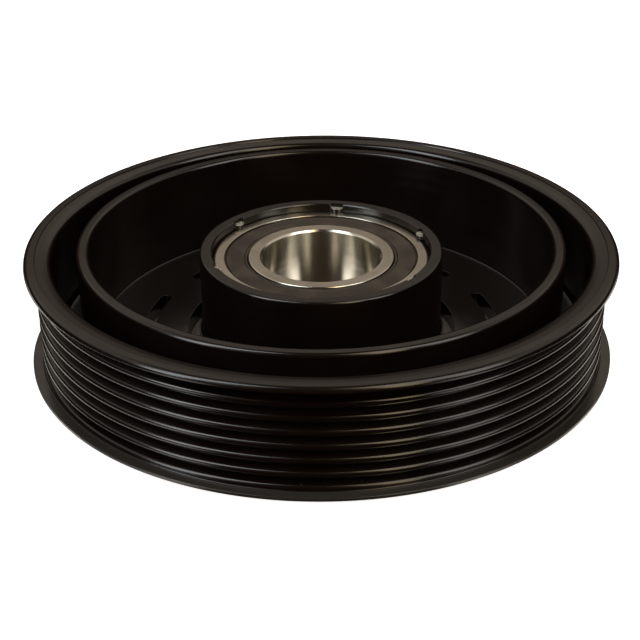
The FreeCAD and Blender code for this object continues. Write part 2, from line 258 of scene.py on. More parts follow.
# Floor and paper, in metres; the shaded part of the paper is in millimetres
FLOOR_GAP = 0.0002
FLOOR_START = 0.0001
SHADED_FLOOR_START = 0.020
SHADED_FLOOR_END = 0.064
STAGE_TURN_STEPS = 96
FLOOR_RADIUS = 1.6
SWEEP_RADIUS = 1.2
SWEEP_HEIGHT = 2.2
SWEEP_STEPS = 24
PAPER_LOW = (0.80, 0.80, 0.80, 1.0)
PAPER_HIGH = (0.82, 0.82, 0.82, 1.0)
PAPER_SHADE = (0.11, 0.10, 0.09, 1.0)
PAPER_GLOW = 0.85
SHADE_GLOW = 0.028
WHITE_GLOW = (1.0, 1.0, 1.0, 1.0)
WARM_GLOW = (1.0, 0.84, 0.70, 1.0)
SHADE_RADIUS = 68.0
GLOW_RADIUS = 75.0

# Soft boxes, in metres
SOFTBOX_DISTANCE = 1.0
COOL_LIGHT = (0.93, 0.97, 1.0)
WARM_LIGHT = (1.0, 0.80, 0.50)
PALE_LIGHT = (1.0, 0.96, 0.90)

# Room light: colours, and bounds as parts of the direction's length
ROOM_DARK = (0.034, 0.022, 0.017, 1.0)
ROOM_BAND = (0.54, 0.46, 0.39, 1.0)
ROOM_SIDE = (0.72, 0.65, 0.57, 1.0)
ROOM_LOW = (2.10, 1.95, 1.75, 1.0)
ROOM_LOW_SIDE_START = 0.58
ROOM_LOW_SIDE_END = 0.68
ROOM_LOW_FADE_START = 0.76
ROOM_LOW_FADE_END = 0.86
ROOM_LOW_TOP_START = -0.05
ROOM_LOW_TOP_END = -0.30
ROOM_BEHIND_START = 0.0
ROOM_BEHIND_END = 0.5
ROOM_BAND_BOTTOM_START = 0.33
ROOM_BAND_BOTTOM_END = 0.50
ROOM_BAND_FADE_START = 0.70
ROOM_BAND_FADE_END = 0.88
ROOM_SIDE_START = 0.25
ROOM_SIDE_END = 0.65
ROOM_SIDE_FADE_START = 0.75
ROOM_SIDE_FADE_END = 0.95

# Camera, in millimetres and degrees
CAMERA_PLACE = Vector((-0.39, -335.7, 183.6))
CAMERA_PITCH = 27.92
CAMERA_ROLL = -0.41
CAMERA_LENS = 82.52
CAMERA_SENSOR = 36.0
CAMERA_CLIP_START = 10.0


# ---------------------------------------------------------------- profiles

def corner_arc(before, corner, after, rounding, steps=CORNER_STEPS):
    """Points of the arc that rounds one corner of a profile."""
    towards_before = (before - corner).normalized()
    towards_after = (after - corner).normalized()
    half_angle = towards_before.angle(towards_after) / 2
    reach = rounding / math.tan(half_angle)
    bisector = (towards_before + towards_after).normalized()
    centre = corner + bisector * (rounding / math.sin(half_angle))
    start = (corner + towards_before * reach - centre).angle_signed(corner - centre)
    middle = math.atan2(corner.y - centre.y, corner.x - centre.x)
    points = []
    for step in range(steps + 1):
        angle = middle + start * (1 - 2 * step / steps)
        points.append(centre + Vector((math.cos(angle), math.sin(angle))) * rounding)
    return points


def outline(corners, closed=True):
    """Profile points through (radius, height, rounding) corners, edges kept crisp."""
    places = [Vector((radius, height)) for radius, height, _ in corners]
    arcs = []
    for index, (_, _, rounding) in enumerate(corners):
        if rounding == 0:
            arcs.append([places[index]])
            continue
        following = places[(index + 1) % len(places)]
        arcs.append(corner_arc(places[index - 1], places[index], following, rounding))
    points = []
    for index, arc in enumerate(arcs):
        points += arc
        if index == len(arcs) - 1 and not closed:
            break
        following = arcs[(index + 1) % len(arcs)]
        gap = following[0] - arc[-1]
        support = gap.normalized() * min(EDGE_SUPPORT, gap.length / 4)
        if len(arc) > 1:
            points.append(arc[-1] + support)
        if len(following) > 1:
            points.append(following[0] - support)
    return points


def even_angles(count=TURN_STEPS):
    """Evenly spaced angles of a full turn, in degrees."""
    return [360.0 * index / count for index in range(count)]


def at_angle(point, angle):
    """Place of a profile point on the turned piece, in metres."""
    turn = math.radians(angle)
    return Vector((point[0] * math.cos(turn), point[0] * math.sin(turn), point[1])) * MM


# ---------------------------------------------------------------- meshes

def turned_strip(profiles, angles, closed):
    """Vertices and faces of a ring with one profile for each angle."""
    count = len(profiles[0])
    vertices = []
    for angle, profile in zip(angles, profiles):
        vertices += [at_angle(point, angle) for point in profile]
    spans = count if closed else count - 1
    faces = []
    for turn in range(len(angles)):
        here = turn * count
        there = (turn + 1) % len(angles) * count
        for index in range(spans):
            after = (index + 1) % count
            faces.append((here + index, there + index, there + after, here + after))
    return vertices, faces


def joined(parts):
    """Vertices and faces of several strips as one set."""
    vertices = []
    faces = []
    for part_vertices, part_faces in parts:
        start = len(vertices)
        vertices += part_vertices
        faces += [tuple(start + index for index in face) for face in part_faces]
    return vertices, faces


def add_piece(name, part, body, material, replaced=()):
    """One smooth visible piece that rides on a body."""
    mesh = bpy.data.meshes.new(name)
    mesh.from_pydata([tuple(vertex) for vertex in part[0]], [], part[1])
    tidy = bmesh.new()
    tidy.from_mesh(mesh)
    bmesh.ops.remove_doubles(tidy, verts=tidy.verts, dist=WELD_DISTANCE)
    bmesh.ops.recalc_face_normals(tidy, faces=tidy.faces)
    tidy.to_mesh(mesh)
    tidy.free()
    mesh.shade_smooth()
    mesh.materials.append(material)
    piece = bpy.data.objects.new(name, mesh)
    bpy.context.scene.collection.objects.link(piece)
    if replaced:
        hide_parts(*replaced)
    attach(piece, body)
    return piece


def turned_piece(corners):
    """A plain turned ring."""
    angles = even_angles()
    return turned_strip([outline(corners)] * len(angles), angles, True)


# ---------------------------------------------------------------- pulley rim

def groove_corners(centre_height):
    """Corners of one belt groove, from its lower flank to its upper flank."""
    floor_radius = RIDGE_TIP_RADIUS - GROOVE_DEPTH
    mouth_half_width = GROOVE_FLOOR_HALF_WIDTH + GROOVE_DEPTH * math.tan(GROOVE_FLANK_ANGLE)
    return [
        (RIDGE_TIP_RADIUS, centre_height - mouth_half_width, RIDGE_TIP_ROUNDING),
        (floor_radius, centre_height - GROOVE_FLOOR_HALF_WIDTH, GROOVE_FLOOR_ROUNDING),
        (floor_radius, centre_height + GROOVE_FLOOR_HALF_WIDTH, GROOVE_FLOOR_ROUNDING),
        (RIDGE_TIP_RADIUS, centre_height + mouth_half_width, RIDGE_TIP_ROUNDING),
    ]


def belt_corners():
    """All belt grooves, with a rounder shoulder beside each flange."""
    corners = []
    for index in range(GROOVE_COUNT):
        steps_from_middle = index - (GROOVE_COUNT - 1) / 2
        corners += groove_corners(BELT_MIDDLE + steps_from_middle * GROOVE_PITCH)
    corners[0] = (RIDGE_TIP_RADIUS, corners[0][1], FLANGE_SHOULDER_ROUNDING)
    corners[-1] = (RIDGE_TIP_RADIUS, corners[-1][1], FLANGE_SHOULDER_ROUNDING)
    return corners


def rim_corners():
    """Grooved rim with its two flanges, its rear end face and its front web."""
    front_flange_top = RIM_BOTTOM + FLANGE_TIP_THICKNESS
    return [
        (POLE_OUTER_RADIUS, RIM_BOTTOM, PLATE_EDGE_ROUNDING),
        (RIM_RADIUS, RIM_BOTTOM, FLANGE_TIP_ROUNDING),
        (RIM_RADIUS, front_flange_top, FLANGE_TIP_ROUNDING),
        (RIDGE_TIP_RADIUS, front_flange_top + FLANGE_FACE_RISE, FLANGE_FILLET),
        *belt_corners(),
        (RIDGE_TIP_RADIUS, REAR_FLANGE_UNDERSIDE, FLANGE_FILLET),
        (RIM_RADIUS, REAR_FLANGE_TIP, FLANGE_TIP_ROUNDING),
        (RIM_RADIUS, BAND_TOP, BAND_EDGE_ROUNDING),
        (BAND_INNER_RADIUS, BAND_TOP, BAND_STEP_ROUNDING),
        (BAND_FOOT_RADIUS, LAND_OUTER_TOP, BAND_STEP_ROUNDING),
        (LAND_MIDDLE_RADIUS, LAND_MIDDLE_TOP, LAND_MIDDLE_ROUNDING),
        (RIM_WALL_RADIUS, LAND_INNER_TOP, RIM_EDGE_ROUNDING),
        (RIM_WALL_RADIUS, RIM_WEB_TOP, RIM_FOOT_ROUNDING),
        (POLE_OUTER_RADIUS, RIM_WEB_TOP, PLATE_EDGE_ROUNDING),
    ]


# ---------------------------------------------------------------- rotor

def skinned(loops):
    """Vertices and faces of a skin over closed loops of equal point counts."""
    count = len(loops[0])
    vertices = [point for loop in loops for point in loop]
    faces = []
    for level in range(len(loops) - 1):
        for index in range(count):
            after = (index + 1) % count
            here = level * count
            faces.append((here + index, here + after, here + count + after, here + count + index))
    return vertices, faces


def slot_loop(slot, turn, grow, height):
    """Outline of one arc slot with round ends, grown by a margin, at one height."""
    slot_radius, width = slot
    half_width = width / 2 + grow
    end_angle = SLOT_HALF_SPAN - math.degrees(width / 2 / slot_radius)
    points = []
    for step in range(SLOT_ARC_STEPS + 1):
        angle = turn - end_angle + 2 * end_angle * step / SLOT_ARC_STEPS
        points.append(at_angle((slot_radius + half_width, height), angle))
    points += slot_end(slot_radius, half_width, turn + end_angle, height, 1)
    for step in range(SLOT_ARC_STEPS + 1):
        angle = turn + end_angle - 2 * end_angle * step / SLOT_ARC_STEPS
        points.append(at_angle((slot_radius - half_width, height), angle))
    points += slot_end(slot_radius, half_width, turn - end_angle, height, -1)
    return points


def slot_end(slot_radius, half_width, angle, height, way):
    """Round end of a slot between its two long sides."""
    centre = at_angle((slot_radius, height), angle)
    outwards = at_angle((1, 0), angle)
    along = at_angle((1, 0), angle + 90 * way)
    points = []
    for step in range(1, SLOT_END_STEPS):
        turn = math.pi * step / SLOT_END_STEPS
        across = outwards * math.cos(turn) * way + along * math.sin(turn)
        points.append(centre + across * half_width)
    return points


def slot_wall(slot, turn):
    """Wall of one slot, rounded at both faces of the plate."""
    profile = [(SLOT_MARGIN, PLATE_TOP)]
    for step in range(CORNER_STEPS + 1):
        lean = math.pi / 2 * step / CORNER_STEPS
        grow = SLOT_EDGE_ROUNDING * (1 - math.sin(lean))
        profile.append((grow, PLATE_TOP - SLOT_EDGE_ROUNDING * (1 - math.cos(lean))))
    profile += [(grow, PLATE_TOP - height) for grow, height in reversed(profile)]
    return skinned([slot_loop(slot, turn, grow, height) for grow, height in profile])


def in_slot(place):
    """True inside the grown outline of any slot."""
    radius = math.hypot(place[0], place[1]) / MM
    angle = math.degrees(math.atan2(place[1], place[0]))
    spacing = 360.0 / SLOTS_PER_RING
    offset = (angle + spacing / 2) % spacing - spacing / 2
    for slot_radius, width in (INNER_SLOT, OUTER_SLOT):
        end_angle = SLOT_HALF_SPAN - math.degrees(width / 2 / slot_radius)
        beyond = max(0.0, abs(offset) - end_angle)
        centre = at_angle((slot_radius, 0), beyond)
        reach = (at_angle((radius, 0), 0) - centre).length / MM
        if beyond == 0.0:
            reach = abs(radius - slot_radius)
        if reach < width / 2 + SLOT_MARGIN:
            return True
    return False


def slot_turns():
    """Every slot with the angle of its middle."""
    turns = even_angles(SLOTS_PER_RING)
    return [(slot, turn) for slot in (INNER_SLOT, OUTER_SLOT) for turn in turns]


def plate_faces(inner_angles, outer_angles):
    """Both flat faces of the friction plate, with holes for the slots."""
    loops = [[at_angle((PLATE_FLAT_OUTER, 0), angle) for angle in outer_angles]]
    loops.append([at_angle((PLATE_FLAT_INNER, 0), angle) for angle in inner_angles])
    loops += [slot_loop(slot, turn, SLOT_MARGIN, 0) for slot, turn in slot_turns()]
    places = []
    edges = []
    for loop in loops:
        start = len(places)
        places += [Vector((point.x, point.y)) / MM for point in loop]
        edges += [(start + index, start + (index + 1) % len(loop)) for index in range(len(loop))]
    flat, _, triangles, _, _, _ = delaunay_2d_cdt(places, edges, [], 1, 1e-6)
    kept = []
    for triangle in triangles:
        middle = sum((flat[index] for index in triangle), Vector((0, 0))) / 3
        if middle.length > PLATE_FLAT_INNER and not in_slot(middle * MM):
            kept.append(tuple(triangle))
    top = [Vector((point.x, point.y, PLATE_TOP)) * MM for point in flat]
    bottom = [Vector((point.x, point.y, 0)) * MM for point in flat]
    return [(top, kept), (bottom, kept)]


def pole_path():
    """Open profile from the cavity floor over the outer pole to the friction face."""
    return outline([
        (PLATE_FLAT_OUTER, PLATE_TOP, 0),
        (POLE_INNER_RADIUS_FLOOR, PLATE_TOP, CAVITY_FOOT_ROUNDING),
        (POLE_INNER_RADIUS_TOP, POLE_TOP, POLE_EDGE_ROUNDING),
        (POLE_OUTER_RADIUS, POLE_TOP, POLE_EDGE_ROUNDING),
        (POLE_OUTER_RADIUS, 0, PLATE_EDGE_ROUNDING),
        (PLATE_FLAT_OUTER, 0, 0),
    ], closed=False)


def resampled(points, count):
    """The same open path with evenly spaced points."""
    lengths = [0.0]
    for before, after in zip(points, points[1:]):
        lengths.append(lengths[-1] + (after - before).length)
    path = []
    segment = 0
    for index in range(count):
        target = lengths[-1] * index / (count - 1)
        while segment < len(points) - 2 and lengths[segment + 1] < target:
            segment += 1
        share = (target - lengths[segment]) / (lengths[segment + 1] - lengths[segment])
        path.append(points[segment].lerp(points[segment + 1], min(1.0, share)))
    return path


def plain_edge_path():
    """Seat wall, chamfer and start of the hub's end face, between two stakes."""
    return resampled(outline([
        (BEARING_RADIUS, SEAT_START, 0),
        (BEARING_RADIUS, HUB_TOP - HUB_INNER_CHAMFER, HUB_INNER_ROUNDING),
        (BEARING_RADIUS + HUB_INNER_CHAMFER, HUB_TOP, HUB_INNER_ROUNDING),
        (STAKE_NOTCH_RADIUS + STAKE_CLEAR, HUB_TOP, 0),
    ], closed=False), STAKE_PATH_POINTS)


def stake_path(offset):
    """The same stretch through a stake, at a sideways offset from its middle."""
    across = math.sqrt(max(0.0, STAKE_PUNCH_RADIUS ** 2 - offset ** 2))
    tip = min(STAKE_PUNCH_CENTRE - across, BEARING_RADIUS - STAKE_CLEAR)
    return resampled(outline([
        (BEARING_RADIUS, SEAT_START, 0),
        (BEARING_RADIUS, STAKE_FOOT, STAKE_FOOT_ROUNDING),
        (tip, STAKE_FOOT, STAKE_UNDERSIDE_ROUNDING),
        (tip, STAKE_LEDGE, STAKE_TIP_ROUNDING),
        (STAKE_NOTCH_RADIUS, STAKE_LEDGE - STAKE_LEDGE_FALL, STAKE_NOTCH_FOOT_ROUNDING),
        (STAKE_NOTCH_RADIUS, HUB_TOP, STAKE_NOTCH_ROUNDING),
        (STAKE_NOTCH_RADIUS + STAKE_CLEAR, HUB_TOP, 0),
    ], closed=False), STAKE_PATH_POINTS)


def stake_share(offset):
    """1 inside a stake, 0 outside, with a steep side between."""
    share = (STAKE_HALF_WIDTH + STAKE_SIDE_WIDTH / 2 - abs(offset)) / STAKE_SIDE_WIDTH
    share = min(1.0, max(0.0, share))
    return share * share * (3 - 2 * share)


def hub_edge_path(angle):
    """Inner edge of the hub's end face at one angle."""
    spacing = 360.0 / STAKE_COUNT
    from_stake = (angle - STAKE_FIRST_ANGLE + spacing / 2) % spacing - spacing / 2
    offset = math.radians(from_stake) * BEARING_RADIUS
    share = stake_share(offset)
    plain = plain_edge_path()
    if share == 0.0:
        return plain
    staked = stake_path(offset)
    return [before.lerp(after, share) for before, after in zip(plain, staked)]


def hub_profile(angle):
    """Open profile from the friction face through the bearing seat to the floor."""
    below = outline([
        (PLATE_FLAT_INNER, 0, 0),
        (SHOULDER_RADIUS, 0, SHOULDER_ROUNDING),
        (SHOULDER_RADIUS, BEARING_BOTTOM, SEAT_ROUNDING),
        (BEARING_RADIUS, BEARING_BOTTOM, SEAT_ROUNDING),
        (BEARING_RADIUS, SEAT_START, 0),
    ], closed=False)
    above = outline([
        (STAKE_NOTCH_RADIUS + STAKE_CLEAR, HUB_TOP, 0),
        (HUB_RADIUS, HUB_TOP, HUB_EDGE_ROUNDING),
        (HUB_RADIUS, PLATE_TOP, CAVITY_FOOT_ROUNDING),
        (PLATE_FLAT_INNER, PLATE_TOP, 0),
    ], closed=False)
    return below[:-1] + hub_edge_path(angle) + above[1:]


def hub_angles():
    """Even angles, with finer ones across each stake."""
    edge = STAKE_HALF_WIDTH + STAKE_SIDE_WIDTH / 2
    side_step = STAKE_SIDE_WIDTH / STAKE_SIDE_STEPS
    offsets = [edge - side_step * index for index in range(STAKE_SIDE_STEPS + 1)]
    inside = offsets[-1]
    steps = round(inside / STAKE_STEP)
    offsets += [inside * index / steps for index in range(steps)]
    offsets = sorted({round(sign * offset, 6) for offset in offsets for sign in (-1, 1)})
    span = math.degrees((edge + STAKE_STEP) / BEARING_RADIUS)
    angles = []
    spacing = 360.0 / STAKE_COUNT
    for angle in even_angles():
        from_stake = (angle - STAKE_FIRST_ANGLE + spacing / 2) % spacing - spacing / 2
        if abs(from_stake) > span:
            angles.append(angle)
    for stake in range(STAKE_COUNT):
        middle = STAKE_FIRST_ANGLE + spacing * stake
        angles += [middle + math.degrees(offset / BEARING_RADIUS) for offset in offsets]
    return sorted(angles)


def rotor_part():
    """Friction plate with slots, hub with stakes, and outer pole."""
    inner_angles = hub_angles()
    outer_angles = even_angles()
    parts = [turned_strip([hub_profile(angle) for angle in inner_angles], inner_angles, False)]
    parts.append(turned_strip([pole_path()] * len(outer_angles), outer_angles, False))
    parts += plate_faces(inner_angles, outer_angles)
    parts += [slot_wall(slot, turn) for slot, turn in slot_turns()]
    return joined(parts)


# ---------------------------------------------------------------- bearing

def raceway(land_radius, floor_radius, row_height):
    """Corner points of one raceway arc, from its lower to its upper edge."""
    inwards = 1 if floor_radius < land_radius else -1
    centre_radius = floor_radius + inwards * RACEWAY_RADIUS
    half_width = math.sqrt(RACEWAY_RADIUS ** 2 - (centre_radius - land_radius) ** 2)
    half_angle = math.asin(half_width / RACEWAY_RADIUS)
    points = []
    for step in range(RACEWAY_POINTS + 1):
        angle = half_angle * (2 * step / RACEWAY_POINTS - 1)
        radius = centre_radius - inwards * RACEWAY_RADIUS * math.cos(angle)
        points.append((radius, row_height + RACEWAY_RADIUS * math.sin(angle), 0))
    return points


def both_raceways(land_radius, floor_radius):
    """Both raceways of a race, front row first."""
    front = raceway(land_radius, floor_radius, BEARING_MIDDLE - BALL_ROW_OFFSET)
    rear = raceway(land_radius, floor_radius, BEARING_MIDDLE + BALL_ROW_OFFSET)
    return front + rear


def mirrored_corners(corners):
    """The same corners at the bearing's other end, in the order that closes the outline."""
    backwards = corners[::-1]
    return [(radius, 2 * BEARING_MIDDLE - height, rounding) for radius, height, rounding in backwards]


def outer_race_corners():
    """Outer race with seal seats and raceways in its bore."""
    floor = BALL_PITCH_RADIUS + BALL_RADIUS + RACEWAY_CLEARANCE
    inside = [
        (OUTER_RACE_MOUTH_RADIUS, BEARING_BOTTOM, RACE_MOUTH_ROUNDING),
        (OUTER_RACE_MOUTH_RADIUS, BEARING_BOTTOM + SEAL_BEAD_TOP, SEAL_SEAT_ROUNDING),
        (SEAL_BEAD_RADIUS, BEARING_BOTTOM + SEAL_BEAD_TOP, SEAL_SEAT_ROUNDING),
        (SEAL_BEAD_RADIUS, BEARING_BOTTOM + SEAL_BEAD_BOTTOM, SEAL_SEAT_ROUNDING),
        (OUTER_RACE_LAND_RADIUS, BEARING_BOTTOM + SEAL_BEAD_BOTTOM, RACE_LAND_ROUNDING),
    ]
    return inside + both_raceways(OUTER_RACE_LAND_RADIUS, floor) + mirrored_corners(inside) + [
        (BEARING_RADIUS, BEARING_TOP, OUTER_RACE_ROUNDING),
        (BEARING_RADIUS, BEARING_BOTTOM, OUTER_RACE_ROUNDING),
    ]


def inner_race_corners():
    """Inner race with its chamfered bore and two raceways."""
    floor = BALL_PITCH_RADIUS - BALL_RADIUS - RACEWAY_CLEARANCE
    outside = [
        (BORE_RADIUS, BEARING_BOTTOM + BORE_CHAMFER, BORE_EDGE_ROUNDING),
        (BORE_RADIUS + BORE_CHAMFER, BEARING_BOTTOM, BORE_EDGE_ROUNDING),
        (INNER_RACE_SEAL_RADIUS, BEARING_BOTTOM, RACE_EDGE_ROUNDING),
        (INNER_RACE_SEAL_RADIUS, BEARING_BOTTOM + RACE_STEP_START, RACE_LAND_ROUNDING),
        (INNER_RACE_LAND_RADIUS, BEARING_BOTTOM + RACE_STEP_END, RACE_LAND_ROUNDING),
    ]
    return outside + both_raceways(INNER_RACE_LAND_RADIUS, floor) + mirrored_corners(outside)


def seal_corners(face_height, inwards):
    """Rubber seal: bead in the outer race, face, groove and lip at the inner race."""
    points = [
        (SEAL_LIP_RADIUS, SEAL_LIP_DEPTH, SEAL_LIP_ROUNDING),
        (SEAL_LIP_OUTER_RADIUS, SEAL_FACE_DEPTH, SEAL_FACE_ROUNDING),
        (SEAL_LIP_OUTER_RADIUS + SEAL_GROOVE_DRAFT, SEAL_GROOVE_DEPTH, SEAL_GROOVE_ROUNDING),
        (SEAL_FACE_INNER_RADIUS - SEAL_GROOVE_DRAFT, SEAL_GROOVE_DEPTH, SEAL_GROOVE_ROUNDING),
        (SEAL_FACE_INNER_RADIUS, SEAL_FACE_DEPTH, SEAL_FACE_ROUNDING),
        (SEAL_FACE_OUTER_RADIUS, SEAL_FACE_DEPTH, SEAL_OUTER_ROUNDING),
        (SEAL_FACE_OUTER_RADIUS + SEAL_GROOVE_DRAFT, SEAL_BEAD_TOP, SEAL_BEAD_FOOT_ROUNDING),
        (SEAL_BEAD_RADIUS, SEAL_BEAD_TOP, SEAL_BEAD_ROUNDING),
        (SEAL_BEAD_RADIUS, SEAL_BEAD_BOTTOM, SEAL_BEAD_ROUNDING),
        (CORE_OUTER_RADIUS, SEAL_BEAD_BOTTOM, CORE_SEAT_ROUNDING),
        (CORE_OUTER_RADIUS, CORE_DEPTH, CORE_SEAT_ROUNDING),
        (CORE_INNER_RADIUS, CORE_DEPTH, CORE_SEAT_ROUNDING),
        (CORE_INNER_RADIUS, SEAL_BEAD_BOTTOM, SEAL_INNER_ROUNDING),
        (SEAL_FACE_INNER_RADIUS, SEAL_BEAD_BOTTOM, SEAL_INNER_ROUNDING),
        (SEAL_LIP_RADIUS, SEAL_BEAD_BOTTOM + SEAL_LIP_LENGTH, SEAL_LIP_END_ROUNDING),
    ]
    return [(radius, face_height + inwards * depth, rounding) for radius, depth, rounding in points]


# ---------------------------------------------------------------- materials

class Finish:
    """One procedural material, with short calls for its nodes."""

    def __init__(self, name):
        self.material = bpy.data.materials.new(name)
        self.material.use_nodes = True
        self.nodes = self.material.node_tree.nodes
        self.links = self.material.node_tree.links
        self.shader = self.nodes["Principled BSDF"]
        coordinates = self.nodes.new("ShaderNodeTexCoord")
        self.place = coordinates.outputs["Object"]
        self.normal = coordinates.outputs["Normal"]

    def give(self, node, socket, value):
        """A number, a colour or another node's output goes into a socket."""
        if isinstance(value, bpy.types.NodeSocket):
            self.links.new(value, node.inputs[socket])
        else:
            node.inputs[socket].default_value = value

    def math(self, operation, *values):
        """Result of a sum on one, two or three values."""
        node = self.nodes.new("ShaderNodeMath")
        node.operation = operation
        for socket, value in enumerate(values):
            self.give(node, socket, value)
        return node.outputs[0]

    def ramp(self, value, start, end, start_result=0.0, end_result=1.0):
        """A value's smooth change from one result to another between two bounds."""
        node = self.nodes.new("ShaderNodeMapRange")
        node.interpolation_type = "SMOOTHSTEP"
        self.give(node, "Value", value)
        self.give(node, "From Min", start)
        self.give(node, "From Max", end)
        self.give(node, "To Min", start_result)
        self.give(node, "To Max", end_result)
        return node.outputs[0]

    def noise(self, period, detail=2.0, along=None):
        """Noise with a period in millimetres, through space or along one value."""
        node = self.nodes.new("ShaderNodeTexNoise")
        node.inputs["Detail"].default_value = detail
        if along is None:
            self.give(node, "Vector", self.place)
            node.inputs["Scale"].default_value = 1 / (period * MM)
        else:
            node.noise_dimensions = "1D"
            self.give(node, "W", along)
            node.inputs["Scale"].default_value = 1 / period
        return node.outputs[0]

    def blend(self, share, first, second):
        """Colour between two colours."""
        node = self.nodes.new("ShaderNodeMix")
        node.data_type = "RGBA"
        self.give(node, 0, share)
        self.give(node, 6, first)
        self.give(node, 7, second)
        return node.outputs[2]

    def bump(self, height, depth, below=None):
        """Relief with a depth in millimetres, on top of another relief."""
        node = self.nodes.new("ShaderNodeBump")
        node.inputs["Distance"].default_value = depth * MM
        self.give(node, "Height", height)
        if below is not None:
            self.give(node, "Normal", below)
        return node.outputs[0]

    def part(self, vector, axis):
        """One component of a vector."""
        node = self.nodes.new("ShaderNodeSeparateXYZ")
        self.give(node, 0, vector)
        return node.outputs[axis]

    def height_mm(self):
        """Height above the friction face."""
        return self.math("MULTIPLY", self.part(self.place, "Z"), 1 / MM)

    def radius_mm(self):
        """Distance from the spin axis."""
        node = self.nodes.new("ShaderNodeVectorMath")
        node.operation = "MULTIPLY"
        self.give(node, 0, self.place)
        self.give(node, 1, (1 / MM, 1 / MM, 0.0))
        length = self.nodes.new("ShaderNodeVectorMath")
        length.operation = "LENGTH"
        self.give(length, 0, node.outputs[0])
        return length.outputs["Value"]

    def across_turning(self):
        """Millimetres across the turning marks: radius on faces, height on walls."""
        upright = self.math("ABSOLUTE", self.part(self.normal, "Z"))
        on_face = self.ramp(upright, start=0.6, end=0.8)
        node = self.nodes.new("ShaderNodeMix")
        self.give(node, 0, on_face)
        self.give(node, 2, self.height_mm())
        self.give(node, 3, self.radius_mm())
        return node.outputs[0]

    def turned_gloss(self, amount):
        """Highlights stretched across the turning marks."""
        tangent = self.nodes.new("ShaderNodeTangent")
        tangent.direction_type = "RADIAL"
        tangent.axis = "Z"
        self.give(self.shader, "Tangent", tangent.outputs[0])
        self.shader.inputs["Anisotropic"].default_value = amount
        self.shader.inputs["Anisotropic Rotation"].default_value = QUARTER_TURN


def black_coat(name, bare_face):
    """Satin black dip coat over turned steel with fine dust; sharp edges lightened, partly as wear
    and partly as a painted highlight; a painted sheen on the front flange.
    """
    finish = Finish(name)
    shader = finish.shader
    marks = finish.across_turning()
    rings = finish.noise(period=0.35, detail=3.0, along=marks)
    broad_rings = finish.noise(period=1.6, detail=2.0, along=marks)
    peel = finish.noise(period=0.9, detail=2.0)
    grain = finish.noise(period=0.14, detail=2.0)
    clouds = finish.noise(period=16.0, detail=4.0)
    wear_and_sheen = edge_wear_and_sheen(finish)
    speck = dust(finish)
    coat = finish.blend(clouds, BLACK_DEEP, BLACK_FADED)
    # Sharp edges lightened: partly wear, partly a painted highlight
    coat = finish.blend(wear_and_sheen, coat, BLACK_WEAR_AND_SHEEN)
    coat = finish.blend(speck, coat, DUST)
    # Painted reflection: lighter grey on the front flange
    coat = finish.blend(painted_flange_sheen(finish), coat, PAINTED_FLANGE_SHEEN)
    cloudy = finish.ramp(clouds, start=0.3, end=0.7,
                         start_result=COAT_SMOOTHEST, end_result=COAT_ROUGHEST)
    rough = finish.math("MULTIPLY_ADD", broad_rings, RING_ROUGHNESS, cloudy)
    rough = finish.math("MAXIMUM", rough, finish.math("MULTIPLY", speck, DUST_ROUGHNESS))
    relief = finish.bump(rings, depth=0.0022)
    relief = finish.bump(peel, depth=0.006, below=relief)
    relief = finish.bump(grain, depth=0.0012, below=relief)
    if bare_face:
        bare = finish.ramp(finish.height_mm(), BARE_FACE_TOP, BARE_FACE_BOTTOM)
        scored = finish.noise(period=0.5, detail=4.0, along=marks)
        steel = finish.blend(scored, STEEL_DARK, STEEL_PALE)
        coat = finish.blend(bare, coat, steel)
        relief = finish.bump(finish.math("MULTIPLY", scored, bare), depth=0.012, below=relief)
        coat = finish.blend(stake_faces(finish), coat, SCRAPED)
        finish.give(shader, "Metallic", bare)
    finish.give(shader, "Base Color", coat)
    finish.give(shader, "Roughness", rough)
    finish.give(shader, "Normal", relief)
    finish.turned_gloss(COAT_STREAK)
    return finish.material


def edge_wear_and_sheen(finish):
    """Share of lighter coat on sharp outer edges, broken up by noise: partly edge wear, partly a
    painted highlight along the edges.
    """
    geometry = finish.nodes.new("ShaderNodeNewGeometry")
    sharp = finish.ramp(geometry.outputs["Pointiness"], start=0.52, end=0.6)
    patchy = finish.ramp(finish.noise(period=2.2, detail=4.0), start=0.4, end=0.75)
    return finish.math("MULTIPLY", finish.math("MULTIPLY", sharp, patchy), EDGE_WEAR_AND_SHEEN_STRENGTH)


def stake_faces(finish):
    """Share of scraped coat on the small upright faces left by the stake punch."""
    height = finish.height_mm()
    from_below, whole_below = SCRAPED_BELOW_LEDGE
    to_above, whole_above = SCRAPED_ABOVE_LEDGE
    above = finish.ramp(height, STAKE_LEDGE - from_below, STAKE_LEDGE - whole_below)
    below = finish.ramp(height, STAKE_LEDGE + to_above, STAKE_LEDGE + whole_above)
    upright = finish.ramp(finish.part(finish.normal, "Z"), start=0.3, end=0.7)
    patchy = finish.ramp(finish.noise(period=0.6, detail=3.0), start=0.25, end=0.6)
    at_ledge = finish.math("MULTIPLY", finish.math("MULTIPLY", above, below), upright)
    return finish.math("MULTIPLY", at_ledge, patchy)


def painted_flange_sheen(finish):
    """Share of a painted grey sheen on the front flange's face and tip: a painted reflection that
    lightens it.
    """
    low = finish.ramp(finish.height_mm(), PAINTED_SHEEN_TOP, PAINTED_SHEEN_TOP - PAINTED_SHEEN_TOP_FADE)
    out = finish.ramp(finish.radius_mm(), PAINTED_SHEEN_START, PAINTED_SHEEN_START + PAINTED_SHEEN_START_FADE)
    return finish.math("MULTIPLY", low, out)


def dust(finish):
    """Sparse pale specks."""
    spots = finish.nodes.new("ShaderNodeTexVoronoi")
    finish.give(spots, "Vector", finish.place)
    spots.inputs["Scale"].default_value = 1 / (DUST_SPACING * MM)
    near = finish.ramp(spots.outputs["Distance"], start=0.07, end=0.04)
    chosen = finish.ramp(finish.noise(period=5.0, detail=1.0), start=0.6, end=0.66)
    return finish.math("MULTIPLY", finish.math("MULTIPLY", near, chosen), DUST_COVER)


